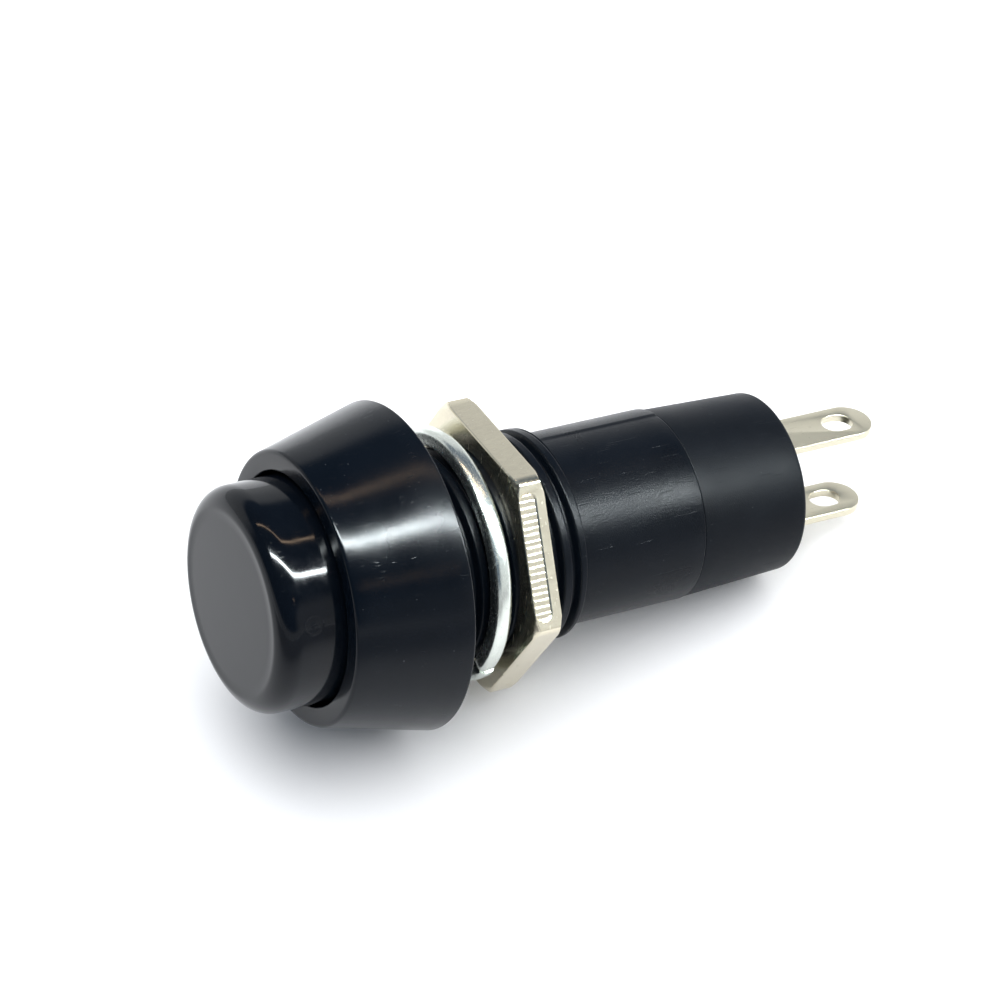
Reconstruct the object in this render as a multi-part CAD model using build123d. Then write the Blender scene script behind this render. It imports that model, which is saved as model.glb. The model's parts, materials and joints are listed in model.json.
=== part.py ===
from build123d import *
import os
from math import ceil, cos, pi, radians, tan

# A panel push button with a 12 mm threaded barrel and two solder lugs.
# Millimetres. The origin is the centre of the bezel's back face, where the panel seats.
# The button faces -Y, everything behind the panel runs along +Y, and the lugs lie flat, one above the other.

# --- bezel and button ---
bezel_d = 18.0
bezel_rim = 1.095
bezel_depth = 6.14
button_d = 12.27
button_gap = 0.22
button_proud = 3.6
button_edge_r = 1.2
button_wall = 1.1
button_top = 1.4
socket_floor = 0.45
button_travel = 2.6
bezel_edge_r = 0.25

# --- barrel behind the panel ---
thread_d = 11.64
thread_pitch = 1.0
thread_depth = 0.45
thread_root_w = 0.1
thread_start = 0.9
thread_length = 8.5
barrel_step = 0.52
barrel_length = 16.2
band_height = 0.06
band_w = 4.6
band_angle = -37.0
chamber_wall = 0.95
guide_length = 3.3
seat_web = 1.3

# --- rear cap and solder lugs ---
rear_cap_step = 0.04
rear_cap_taper = 0.26
body_depth = 22.9
rear_wall = 2.0
rear_edge_r = 0.3
spigot_length = 1.3
spigot_wall = 0.6
lug_length = 6.8
lug_w = 2.85
lug_t = 0.45
lug_spacing = 5.07
lug_shoulder = 0.3
eyelet_length = 1.83
eyelet_w = 1.5
eyelet_to_tip = 2.06
tab_gap = 2.3
tab_bend_r = 0.1
tab_setback = 2.9

# --- stem ---
stem_d = 4.4
stem_flats = 3.5
spigot_d = 3.2
stem_spigot_length = 2.9
boss_d = 5.8
pin_d = 1.5
pin_flats = 1.1
pin_overhang = 0.45
clip_d = 6.6
clip_t = 0.6
clip_opening = 2.4
groove_depth = 0.45
keeper_lip = 0.2
keeper_opening = 0.56
keeper_t = 0.5
keeper_groove_depth = 0.22

# --- contacts ---
contact_gap = 1.6
contact_inset = 0.735
contact_head_d = 1.3
contact_head_t = 0.4
contact_shank_d = 0.7
contact_upset_d = 0.8
contact_upset_t = 0.15
bridge_t = 0.4
bridge_w = 2.2
bridge_overhang = 0.95
bridge_corner_r = 0.44

# --- springs ---
return_wire_d = 0.6
return_turns = 5
contact_wire_d = 0.3
contact_spring_clearance = 0.25
contact_spring_length = 5.7
contact_turns = 8

# --- nut and lock washer ---
nut_wall = 1.15
nut_t = 1.6
nut_place = 4.3
nut_turn = 1.8
nut_chamfer = 0.35
washer_w = 1.01
washer_t = 1.0
washer_rise = 0.28
washer_place = 2.34
washer_edge_r = 0.3
washer_split_angle = 125.0
washer_split = 0.5

# --- clearances ---
running = 0.05
fixed = 0.02
rest_gap = 0.05
thread_clearance = 0.07
nut_bore_clearance = 0.12
washer_clearance = 0.13
bottom_gap = 0.3

# --- places along Y that several pieces share ---
bezel_front_y = -bezel_depth
button_face_y = bezel_front_y - button_proud
recess_floor_y = -seat_web
button_skirt_y = recess_floor_y - bottom_gap - button_travel
guide_end_y = recess_floor_y + guide_length
rear_inside_y = body_depth - rear_wall
lug_tip_y = body_depth + lug_length
clip_y = guide_end_y + rest_gap
boss_end_y = button_face_y + button_top + socket_floor + stem_spigot_length
tab_y = rear_inside_y - tab_setback
fixed_face_y = tab_y - contact_head_t
moving_face_y = fixed_face_y - contact_gap
bridge_rear_y = moving_face_y - contact_head_t
bridge_y = bridge_rear_y - bridge_t
stem_shoulder_y = bridge_y - contact_spring_length
keeper_y = bridge_rear_y + rest_gap
pin_end_y = keeper_y + keeper_t + pin_overhang

# --- radii and widths that several pieces share ---
recess_r = button_d / 2 + button_gap
bezel_front_r = recess_r + bezel_rim
cap_inside_r = button_d / 2 - button_wall
return_mean_r = (boss_d / 2 + cap_inside_r) / 2
crest_r = thread_d / 2
root_r = crest_r - thread_depth
thread_mouth_w = thread_root_w + 2 * thread_depth * tan(radians(30))
barrel_r = crest_r - barrel_step
chamber_r = barrel_r - chamber_wall
rear_cap_r = barrel_r - rear_cap_step
rear_end_r = rear_cap_r - rear_cap_taper
nut_flat_r = crest_r + nut_wall
washer_inner_r = crest_r + washer_clearance
washer_outer_r = washer_inner_r + washer_w
keeper_r = pin_d / 2 + keeper_lip
contact_mean_r = pin_d / 2 + contact_spring_clearance + contact_wire_d / 2
contact_z = lug_spacing / 2 - contact_inset

# --- how the solids are made ---
flank = tan(radians(30))
overshoot = 0.08
lead_in_turns = 2
helix_start_angle = 90.0


def turned(*points):
    """A solid turned about the Y axis from an outline of (radius, y) points."""
    return revolve(make_face(Polyline(*points, close=True)), Axis.Y)


def rod(radius, y0, y1):
    """A plain cylinder along Y."""
    return turned((0, y0), (radius, y0), (radius, y1), (0, y1))


def ring(outer_r, inner_r, y0, y1):
    """A plain tube along Y."""
    return turned((inner_r, y0), (outer_r, y0), (outer_r, y1), (inner_r, y1))


def block(x0, x1, y0, y1, z0, z1):
    """A box between two corners."""
    return Pos((x0 + x1) / 2, (y0 + y1) / 2, (z0 + z1) / 2) * Box(x1 - x0, y1 - y0, z1 - z0)


def along_y(shape):
    """Lays a shape that was made along Z down along Y."""
    return Rot(-90, 0, 0) * shape


def turn_about_y(shape, angle):
    """Turns a shape about the Y axis, from +Z towards +X."""
    return Rot(0, angle, 0) * shape


def flatted(radius, flats, y0, y1):
    """A round bar with two flats, which face +X and -X."""
    half = flats / 2
    return rod(radius, y0, y1) & block(-half, half, y0, y1, -radius, radius)


def round_edges(shape, radius, y, at_r):
    """Rounds the circular edges of one radius that lie at one place along Y."""
    picked = [
        e
        for e in shape.edges().filter_by(GeomType.CIRCLE)
        if abs(e.center().Y - y) < 0.01 and abs(e.radius - at_r) < 0.01
    ]
    return fillet(picked, radius)


def helical_groove(mouth_r, bottom_r, mouth_w, bottom_w, y0, length):
    """The cutter of a thread groove, as half-turn solids that can be cut out one by one."""
    side = 1 if bottom_r > mouth_r else -1
    lean = (mouth_w - bottom_w) / 2 / abs(mouth_r - bottom_r)
    open_r = mouth_r - side * overshoot
    open_half = mouth_w / 2 + lean * overshoot
    outline = Polyline(
        (open_r, 0, -open_half),
        (open_r, 0, open_half),
        (bottom_r, 0, bottom_w / 2),
        (bottom_r, 0, -bottom_w / 2),
        close=True,
    )
    path = Helix(pitch=thread_pitch, height=length, radius=mouth_r)
    groove = sweep(make_face(outline), path=path, is_frenet=True)
    groove = along_y(groove).moved(Location((0, y0, 0)))
    halves = split(groove, Plane.YZ, keep=Keep.BOTH)
    return halves.solids()


def coil(mean_r, wire_d, turns, y0, y1):
    """A compression spring whose two ends are ground flat."""
    rise = y1 - y0
    path = Helix(pitch=rise / turns, height=rise, radius=mean_r)
    start = Plane(origin=path @ 0, z_dir=path % 0)
    wire = sweep(start * Circle(wire_d / 2), path=path, is_frenet=True)
    wire = along_y(wire).moved(Location((0, y0, 0)))
    reach = mean_r + wire_d
    return wire & block(-reach, reach, y0, y1, -reach, reach)


def rivet(z, head_y, into):
    """A contact rivet with its head at head_y, and its shank and upset end through a plate, towards into."""
    head_end = head_y + into * contact_head_t
    plate = bridge_t if into < 0 else lug_t
    plate_end = head_end + into * plate
    upset_end = plate_end + into * contact_upset_t
    spans = (
        (contact_head_d, head_y, head_end),
        (contact_shank_d, head_end, plate_end),
        (contact_upset_d, plate_end, upset_end),
    )
    body = None
    for diameter, a, b in spans:
        piece = rod(diameter / 2, min(a, b), max(a, b))
        body = piece if body is None else body + piece
    return body.moved(Location((0, 0, z)))


def make_threaded_housing():
    """Bezel, threaded barrel and smooth barrel in one moulding."""
    body = turned(
        (0, bezel_front_y),
        (bezel_front_r, bezel_front_y),
        (bezel_d / 2, 0),
        (crest_r, 0),
        (crest_r, thread_length),
        (barrel_r, thread_length),
        (barrel_r, barrel_length),
        (0, barrel_length),
    )
    body = round_edges(body, bezel_edge_r, bezel_front_y, bezel_front_r)
    band = ring(barrel_r + band_height, barrel_r - chamber_wall / 2, thread_length, barrel_length)
    sector = block(-band_w / 2, band_w / 2, thread_length, barrel_length, 0, bezel_d)
    body += band & turn_about_y(sector, band_angle)
    body -= rod(recess_r, bezel_front_y - 1, recess_floor_y)
    body -= rod(chamber_r, guide_end_y, barrel_length + 1)
    body -= flatted(stem_d / 2 + running, stem_flats + 2 * running, recess_floor_y - 1, guide_end_y + 1)
    run = thread_length - thread_start + thread_pitch
    for part in helical_groove(crest_r, root_r, thread_mouth_w, thread_root_w, thread_start, run):
        body -= part
    return body


def make_button_cap():
    """The cap that the finger presses: a cup with a boss that grips the stem's spigot."""
    radius = button_d / 2
    inside_y = button_face_y + button_top
    cap = rod(radius, button_face_y, button_skirt_y)
    cap = round_edges(cap, button_edge_r, button_face_y, radius)
    cap -= ring(cap_inside_r, boss_d / 2, inside_y, button_skirt_y + 1)
    cap -= rod(boss_d / 2, boss_end_y, button_skirt_y + 1)
    cap -= rod(spigot_d / 2 + fixed, boss_end_y - stem_spigot_length - fixed, boss_end_y + 1)
    return cap


def make_plunger_stem():
    """The sliding stem: spigot for the cap, two-flatted bar in the guide, pin for the bridge."""
    stem = rod(spigot_d / 2, boss_end_y - stem_spigot_length, boss_end_y)
    stem += flatted(stem_d / 2, stem_flats, boss_end_y, stem_shoulder_y)
    stem += flatted(pin_d / 2, pin_flats, stem_shoulder_y, pin_end_y)
    stem -= ring(stem_d, stem_flats / 2 - groove_depth, clip_y, clip_y + clip_t)
    stem -= ring(pin_d, pin_flats / 2 - keeper_groove_depth, keeper_y, keeper_y + keeper_t)
    return stem


def make_stop_clip():
    """The open clip behind the guide that stops the stem from coming out at the front."""
    inner_r = stem_flats / 2 - groove_depth + fixed
    clip = ring(clip_d / 2, inner_r, clip_y + fixed, clip_y + clip_t - fixed)
    half = clip_opening / 2
    return clip - block(-half, half, clip_y, clip_y + clip_t, -clip_d, 0)


def make_bridge_keeper():
    """The ring snapped in the pin's groove behind the bridge."""
    inner_r = pin_flats / 2 - keeper_groove_depth + fixed
    keeper = ring(keeper_r, inner_r, keeper_y + fixed, keeper_y + keeper_t - fixed)
    half = keeper_opening / 2
    return keeper - block(-half, half, keeper_y, keeper_y + keeper_t, -keeper_r - 1, 0)


def make_contact_bridge():
    """The blade that joins the two fixed contacts when the button is pressed."""
    half_w = bridge_w / 2
    half_l = contact_z + bridge_overhang
    blade = block(-half_w, half_w, bridge_y, bridge_rear_y, -half_l, half_l)
    blade = fillet(blade.edges().filter_by(Axis.Y), bridge_corner_r)
    blade -= flatted(pin_d / 2 + running, pin_flats + 2 * running, bridge_y - 1, bridge_rear_y + 1)
    for side in (1, -1):
        hole = rod(contact_shank_d / 2, bridge_y - 1, bridge_rear_y + 1)
        blade -= hole.moved(Location((0, 0, side * contact_z)))
    return blade


def make_terminal_lug(side):
    """A flat lug with a full-round end and an oblong eyelet, bent inwards inside the cap to carry its contact."""
    middle = lug_spacing / 2
    outer = middle + lug_t / 2
    inner = middle - lug_t / 2
    bend = Polyline(
        (0, tab_y, tab_gap / 2),
        (0, tab_y, outer),
        (0, lug_tip_y, outer),
        (0, lug_tip_y, inner),
        (0, tab_y + lug_t, inner),
        (0, tab_y + lug_t, tab_gap / 2),
        close=True,
    )
    plate = extrude(make_face(bend), lug_w, dir=(1, 0, 0), both=True)
    outside_bend = plate.edges().filter_by(Axis.X).sort_by_distance((0, tab_y, outer))[0]
    plate = fillet([outside_bend], tab_bend_r + lug_t)
    inside_bend = plate.edges().filter_by(Axis.X).sort_by_distance((0, tab_y + lug_t, inner))[0]
    plate = fillet([inside_bend], tab_bend_r)
    half = lug_w / 2
    wide = half + lug_shoulder
    shoulder_y = rear_inside_y - fixed
    plan = block(-wide, wide, tab_y - 1, shoulder_y, 0, outer + 1)
    plan += block(-half, half, shoulder_y, lug_tip_y - half, 0, outer + 1)
    plan += Pos(0, lug_tip_y - half, (outer + 1) / 2) * Cylinder(half, outer + 1)
    plate &= plan
    eyelet_y = lug_tip_y - eyelet_to_tip
    reach = (eyelet_length - eyelet_w) / 2
    eyelet = block(-eyelet_w / 2, eyelet_w / 2, eyelet_y - reach, eyelet_y + reach, 0, outer + 1)
    for y in (eyelet_y - reach, eyelet_y + reach):
        eyelet += Pos(0, y, (outer + 1) / 2) * Cylinder(eyelet_w / 2, outer + 1)
    plate -= eyelet
    hole = rod(contact_shank_d / 2, tab_y - 1, tab_y + lug_t + 1)
    plate -= hole.moved(Location((0, 0, contact_z)))
    return plate if side > 0 else mirror(plate, Plane.XY)


def make_rear_cap():
    """The cap that closes the barrel and holds the lugs in two slots."""
    spigot_r = chamber_r - fixed
    bore_r = spigot_r - spigot_wall
    cap = turned(
        (0, barrel_length),
        (rear_cap_r, barrel_length),
        (rear_end_r, body_depth),
        (0, body_depth),
    )
    cap = round_edges(cap, rear_edge_r, body_depth, rear_end_r)
    cap += rod(spigot_r, barrel_length - spigot_length, barrel_length)
    cap -= rod(bore_r, barrel_length - spigot_length - 1, rear_inside_y)
    half = lug_w / 2 + fixed
    for side in (1, -1):
        low = side * lug_spacing / 2 - lug_t / 2 - fixed
        cap -= block(-half, half, rear_inside_y - 1, body_depth + 1, low, low + lug_t + 2 * fixed)
    return cap


def make_hex_nut():
    """A thin hexagon nut, with its corners turned off at both faces and a thread that runs on the barrel's."""
    nut = extrude(RegularPolygon(nut_flat_r, 6, major_radius=False, rotation=30), nut_t)
    nut = turn_about_y(along_y(nut).moved(Location((0, nut_place, 0))), nut_turn)
    corner_r = nut_flat_r / cos(radians(30))
    face_r = corner_r - nut_chamfer
    drop = nut_chamfer * flank
    end = nut_place + nut_t
    nut &= turned(
        (0, nut_place),
        (face_r, nut_place),
        (corner_r, nut_place + drop),
        (corner_r, end - drop),
        (face_r, end),
        (0, end),
    )
    bore_r = root_r + nut_bore_clearance
    top_r = crest_r + thread_clearance
    nut -= rod(bore_r, nut_place - 1, end + 1)
    crest_w = thread_pitch - thread_mouth_w
    bottom_w = crest_w - 2 * thread_clearance * flank + 2 * thread_clearance
    mouth_w = bottom_w + 2 * (top_r - bore_r) * flank
    half_turn_y = thread_start + thread_pitch / 2
    skipped = ceil((nut_place - half_turn_y) / thread_pitch - lead_in_turns)
    first_y = half_turn_y + skipped * thread_pitch
    run = nut_t + (lead_in_turns + 1) * thread_pitch
    for part in helical_groove(bore_r, top_r, mouth_w, bottom_w, first_y, run):
        nut -= part
    return nut


def make_lock_washer():
    """A split spring washer: one turn of rounded bar, whose two ends stand a little apart along the axis."""
    middle_r = (washer_inner_r + washer_outer_r) / 2
    bar = RectangleRounded(washer_w, washer_t, washer_edge_r)
    share = 1 - washer_split / (2 * pi * middle_r)
    path = Helix(pitch=washer_rise, height=washer_rise * share, radius=middle_r, lefthand=True)
    start = Plane(origin=path @ 0, x_dir=(1, 0, 0), z_dir=(0, -1, 0))
    washer = sweep(start * bar, path=path, is_frenet=True)
    washer = along_y(washer).moved(Location((0, washer_place + washer_t / 2, 0)))
    return turn_about_y(washer, washer_split_angle - helix_start_angle)


nodes = {
    "threaded_housing": make_threaded_housing(),
    "button_cap": make_button_cap(),
    "plunger_stem": make_plunger_stem(),
    "stop_clip": make_stop_clip(),
    "return_spring": coil(
        return_mean_r, return_wire_d, return_turns, button_face_y + button_top, recess_floor_y
    ),
    "contact_bridge": make_contact_bridge(),
    "moving_contact_upper": rivet(contact_z, moving_face_y, -1),
    "moving_contact_lower": rivet(-contact_z, moving_face_y, -1),
    "contact_spring": coil(contact_mean_r, contact_wire_d, contact_turns, stem_shoulder_y, bridge_y),
    "bridge_keeper": make_bridge_keeper(),
    "terminal_lug_upper": make_terminal_lug(1),
    "terminal_lug_lower": make_terminal_lug(-1),
    "fixed_contact_upper": rivet(contact_z, fixed_face_y, 1),
    "fixed_contact_lower": rivet(-contact_z, fixed_face_y, 1),
    "rear_cap": make_rear_cap(),
    "lock_washer": make_lock_washer(),
    "hex_nut": make_hex_nut(),
}

os.makedirs("parts", exist_ok=True)
for name, shape in nodes.items():
    export_step(shape, f"parts/{name}.step")
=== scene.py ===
import json
import math

import bmesh
import bpy
from mathutils import Matrix, Vector


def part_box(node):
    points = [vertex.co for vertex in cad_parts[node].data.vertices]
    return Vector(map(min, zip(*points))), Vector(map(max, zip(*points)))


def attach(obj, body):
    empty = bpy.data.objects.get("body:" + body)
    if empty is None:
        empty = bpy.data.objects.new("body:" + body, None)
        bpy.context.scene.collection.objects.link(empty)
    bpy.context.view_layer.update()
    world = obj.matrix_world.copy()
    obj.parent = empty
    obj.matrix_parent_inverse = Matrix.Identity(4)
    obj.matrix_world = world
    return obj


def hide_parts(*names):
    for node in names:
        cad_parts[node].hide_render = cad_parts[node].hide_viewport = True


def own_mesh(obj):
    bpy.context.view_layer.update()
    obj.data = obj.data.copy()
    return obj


bl_info = {
    "name": "Panel Push Button",
    "version": (1, 0, 0),
    "blender": (4, 5, 0),
    "location": "View3D > Sidebar > Push Button",
    "description": "Builds a threaded panel push button, its nut, washer and lugs, and a small stage",
    "category": "Add Mesh",
}

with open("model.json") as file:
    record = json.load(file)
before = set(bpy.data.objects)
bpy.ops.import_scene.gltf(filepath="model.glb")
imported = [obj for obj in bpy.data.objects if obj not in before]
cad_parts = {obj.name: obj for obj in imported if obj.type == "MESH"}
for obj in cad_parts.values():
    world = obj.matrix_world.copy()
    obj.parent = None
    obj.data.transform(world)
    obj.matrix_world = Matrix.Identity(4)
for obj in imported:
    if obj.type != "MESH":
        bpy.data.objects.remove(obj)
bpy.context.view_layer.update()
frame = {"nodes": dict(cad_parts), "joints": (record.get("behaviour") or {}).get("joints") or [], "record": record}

MM = 0.001
TURN = 2 * math.pi
GATE_MARK = (5.85, -7.9, 2.05)  # middle of the mould's gate mark, in millimetres
PLASTIC_IOR = 1.5
CLOSED_RISE = 1.04  # rise of a spring's closed turn, in wire diameters
SURFACE_SLACK = 0.03 * MM  # how near a point has to be to count as on the surface

# Rings on the nut's two faces, between its flats and its bore
NUT_FACE_RINGS = (6.4 * MM, 5.95 * MM)
NUT_EDGE = 0.06 * MM  # rounding where a flat meets a face
NUT_ROW = 0.04 * MM  # spacing of the rows of points along the axis

# The card of painted shade, seen in reflections alone: its gap over the floor, its distance from the object,
# its corners (right, towards the camera) in metres, how dark it gets, and where it darkens along the floor in
# millimetres
CARD_GAP = 1 * MM
CARD_START = 15 * MM
CARD_CORNERS = ((-0.08, 0), (0.3, 0), (0.3, 0.4), (-0.4, 0.4))
CARD_DARKEST = 0.34
CARD_FADE = (-45.0, -15.0)

# Lights: name, place (up, right, away), length and width, power, colour, lights glossy rays, diffuse rays
WARM = (1.0, 0.72, 0.48)
LIGHTS = (
    ("tube_light", (0.4, 0.115, -0.125), (0.97, 0.026), 18.0, (0.9, 0.98, 1.0), True, False),
    ("far_tube_light", (0.4, -0.03, 0.125), (0.6, 0.014), 0.4, WARM, True, False),
    ("near_tube_light", (0.4, 0.28, -0.48), (0.1, 0.012), 0.03, WARM, True, False),
    ("sheet_light", (0.8, 0.25, 0.15), (2.4, 2.4), 44.0, (1.0, 1.0, 1.0), False, True),
)
LIT_POINT = Vector((0, 0.008, 0))
ROOM_DIM = (0.08, 0.12, 0.18, 1)
ROOM_BRIGHT = (0.97, 0.99, 1.0, 1)

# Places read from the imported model
HOUSING_LOW, HOUSING_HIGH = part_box("threaded_housing")
CAP_LOW, CAP_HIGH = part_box("button_cap")
NUT_LOW, NUT_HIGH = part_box("hex_nut")
WASHER_LOW, WASHER_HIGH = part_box("lock_washer")
REAR_LOW, REAR_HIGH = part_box("rear_cap")
LUG_LOW, LUG_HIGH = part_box("terminal_lug_upper")
RETURN_LOW, RETURN_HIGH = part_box("return_spring")
PRESS_LOW, PRESS_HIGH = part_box("contact_spring")


def size(name, description, default_mm):
    """A length property that is shown in the scene's unit and given here in millimetres."""
    return bpy.props.FloatProperty(
        name=name, description=description, default=default_mm * MM, unit="LENGTH", precision=5
    )


def angle(name, description, degrees):
    """An angle property, given here in degrees."""
    return bpy.props.FloatProperty(
        name=name, description=description, default=math.radians(degrees), unit="ROTATION"
    )


def number(name, description, default, unit="NONE"):
    """A plain number."""
    return bpy.props.FloatProperty(name=name, description=description, default=default, unit=unit)


def colour(name, description, default):
    """A surface colour."""
    return bpy.props.FloatVectorProperty(
        name=name, description=description, default=default, size=3, min=0.0, max=1.0, subtype="COLOR"
    )


class HousingSizes(bpy.types.PropertyGroup):
    front_radius: size("Bezel front radius", "Radius of the bezel's flat front ring", 7.45)
    recess_radius: size("Recess radius", "Radius of the hole that the button slides in", 6.355)
    recess_floor: size("Recess floor", "Where the recess ends, measured along Y", -1.3)
    guide_end: size("Guide end", "Where the stem's guide ends, measured along Y", 2.0)
    guide_radius: size("Guide radius", "Radius of the stem's guide", 2.25)
    guide_flats: size("Guide flats", "Distance between the guide's two flats", 3.6)
    chamber_radius: size("Chamber radius", "Radius of the hollow behind the guide", 4.35)
    crest_radius: size("Thread crest radius", "Outer radius of the thread", 5.82)
    thread_depth: size("Thread depth", "Depth of the thread's groove", 0.45)
    thread_mouth: size("Groove mouth", "Width of the groove at the crests", 0.62)
    thread_root: size("Groove root", "Width of the groove's bottom", 0.1)
    thread_pitch: size("Thread pitch", "Rise of the thread in one turn", 1.0)
    thread_start: size("Thread start", "Where the groove's middle starts, measured along Y", 0.9)
    thread_end: size("Thread end", "Where the threaded length ends, measured along Y", 8.5)
    barrel_radius: size("Barrel radius", "Radius of the smooth barrel", 5.3)
    band_height: size("Band height", "How far the moulded band stands proud of the barrel", 0.06)
    band_width: size("Band width", "Width of the moulded band", 4.6)
    band_angle: angle("Band angle", "Direction of the band's middle, from +Z towards +X", -37)
    edge_radius: size("Edge radius", "Rounding of the bezel's edges", 0.25)
    plastic: colour("Plastic", "Colour of the satin moulding", (0.002, 0.0036, 0.0064))


class ButtonSizes(bpy.types.PropertyGroup):
    edge_radius: size("Edge radius", "Rounding of the button's face", 1.2)
    crown: size("Crown", "How much the face bulges in its middle", 0.03)
    wall: size("Wall", "Wall thickness of the cap", 1.1)
    top: size("Top", "Thickness of the cap's face", 1.4)
    boss_radius: size("Boss radius", "Radius of the boss that grips the stem", 2.9)
    boss_end: size("Boss end", "Where the boss ends, measured along Y", -4.99)
    socket_radius: size("Socket radius", "Radius of the socket in the boss", 1.62)
    socket_depth: size("Socket depth", "Depth of the socket", 2.92)
    plastic: colour("Plastic", "Colour of the glossy cap", (0.002, 0.0032, 0.0055))


class NutSizes(bpy.types.PropertyGroup):
    flats: size("Across flats", "Distance between opposite flats", 13.94)
    corner_round: size("Corner rounding", "Rounding between neighbouring flats", 0.35)
    chamfer: size("Chamfer", "How far the corners are turned off at each face", 0.34)
    turn: angle("Turn", "How far the nut is turned from flats up", 1.8)
    bore_radius: size("Bore radius", "Inner radius of the nut's thread", 5.49)
    thread_radius: size("Thread radius", "Outer radius of the nut's thread", 5.89)
    thread_mouth: size("Groove mouth", "Width of the nut's groove at its bore", 0.90)
    thread_root: size("Groove bottom", "Width of the nut's groove at its bottom", 0.44)
    rib_pitch: size("Rib pitch", "Spacing of the fine ribs on the ribbed flat", 0.35)
    rib_height: size("Rib height", "Height of the ribs above the bottom of their pocket", 0.024)
    pocket_depth: size("Pocket depth", "Depth of the ribbed pocket", 0.08)
    pocket_length: size("Pocket length", "Length of the ribbed pocket", 6.9)
    pocket_width: size("Pocket width", "Width of the ribbed pocket", 1.0)
    pocket_offset: size("Pocket offset", "From the nut's middle forwards to the pocket's middle", 0.27)
    metal: colour("Metal", "Colour of the nickel plating", (0.69, 0.635, 0.50))


class WasherSizes(bpy.types.PropertyGroup):
    inner_radius: size("Inner radius", "Inner radius of the split washer", 5.95)
    thickness: size("Thickness", "Thickness of the washer's bar", 1.0)
    rise: size("Rise", "How far one end stands behind the other", 0.28)
    split: size("Split", "Gap between the two ends", 0.5)
    split_angle: angle("Split angle", "Where the split is, from +Z towards +X", 125)
    edge_radius: size("Edge radius", "Rounding of the bar's edges", 0.34)
    metal: colour("Metal", "Colour of the zinc plating", (0.66, 0.695, 0.65))


class RearSizes(bpy.types.PropertyGroup):
    end_radius: size("End radius", "Radius at the rear face", 5.0)
    spigot_radius: size("Spigot radius", "Radius of the spigot inside the barrel", 4.33)
    spigot_wall: size("Spigot wall", "Wall thickness of the spigot", 0.6)
    wall: size("Rear wall", "Thickness of the wall that holds the lugs", 2.0)
    edge_radius: size("Edge radius", "Rounding of the rear edge", 0.3)
    slot_gap: size("Slot gap", "Clearance round a lug in its slot", 0.02)


class LugSizes(bpy.types.PropertyGroup):
    width: size("Width", "Width of the lug outside the cap", 2.85)
    sheet: size("Sheet", "Thickness of the sheet", 0.45)
    tab_gap: size("Tab gap", "Distance between the two bent tabs", 2.3)
    bend: size("Bend radius", "Inside radius of the bend", 0.1)
    eyelet_length: size("Eyelet length", "Length of the oblong hole", 1.83)
    eyelet_width: size("Eyelet width", "Width of the oblong hole", 1.5)
    eyelet_to_tip: size("Eyelet to tip", "From the eyelet's middle to the lug's tip", 2.06)
    shank: size("Shank radius", "Radius of the contact rivet's hole", 0.35)
    contact_place: size("Contact place", "Height of the contact rivet above the axis", 1.8)
    metal: colour("Metal", "Colour of the tinned sheet", (0.61, 0.57, 0.45))


class SpringSizes(bpy.types.PropertyGroup):
    return_wire: size("Return wire", "Wire diameter of the return spring", 0.6)
    return_turns: number("Return turns", "Turns of the return spring", 6.0)
    contact_wire: size("Contact wire", "Wire diameter of the contact spring", 0.3)
    contact_turns: number("Contact turns", "Turns of the contact spring", 9.0)
    closed_turns: number("Closed turns", "Turns that lie flat at each end", 1.0)
    steel: colour("Steel", "Colour of the spring wire", (0.52, 0.52, 0.51))


class StageSettings(bpy.types.PropertyGroup):
    azimuth: angle("Azimuth", "Camera azimuth about Z, from the button's front", 57.548)
    elevation: angle("Elevation", "Camera elevation above the object's XY plane", 33.638)
    roll: angle("Roll", "Camera roll about its own axis", 6.562)
    distance: size("Distance", "From the camera to the point that it looks at", 232.0)
    aim: bpy.props.FloatVectorProperty(
        name="Aim",
        description="The point that the camera looks at",
        default=(-0.002258, 0.007555, 0.000944),
        unit="LENGTH",
    )
    lens: number("Lens", "Focal length in millimetres", 154.0, unit="CAMERA")
    floor_size: size("Floor size", "Side of the floor", 4000.0)
    floor_turn: angle("Floor turn", "Where up lies round the axis, from +Z towards +X", 6.935)
    floor: colour("Floor", "Colour of the floor", (0.93, 0.93, 0.93))


GROUPS = {
    "button_housing": HousingSizes,
    "button_cap": ButtonSizes,
    "button_nut": NutSizes,
    "button_washer": WasherSizes,
    "button_rear": RearSizes,
    "button_lugs": LugSizes,
    "button_springs": SpringSizes,
    "button_stage": StageSettings,
}


# ---------------------------------------------------------------- outlines and meshes


def rounded(corners, steps=6):
    """Points of a closed outline from (radius, y, rounding) corners, with an arc at each rounded corner."""
    points = []
    count = len(corners)
    for i, (r, y, rounding) in enumerate(corners):
        here = Vector((r, y))
        if rounding <= 0:
            points.append(here)
            continue
        before = (Vector(corners[i - 1][:2]) - here).normalized()
        after = (Vector(corners[(i + 1) % count][:2]) - here).normalized()
        half = before.angle(after) / 2
        centre = here + (before + after).normalized() * (rounding / math.sin(half))
        reach = rounding / math.tan(half)
        first = here + before * reach - centre
        last = here + after * reach - centre
        sweep = first.angle_signed(last)
        for k in range(steps + 1):
            points.append(centre + Matrix.Rotation(-sweep * k / steps, 2) @ first)
    return points


def spaced(points, step_of):
    """The same closed outline with points added so that no step is longer than step_of says at its middle."""
    out = []
    for a, b in zip(points, points[1:] + points[:1]):
        step = step_of((a + b) / 2)
        n = max(1, math.ceil((b - a).length / step)) if step else 1
        out.extend(a.lerp(b, k / n) for k in range(n))
    return out


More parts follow.
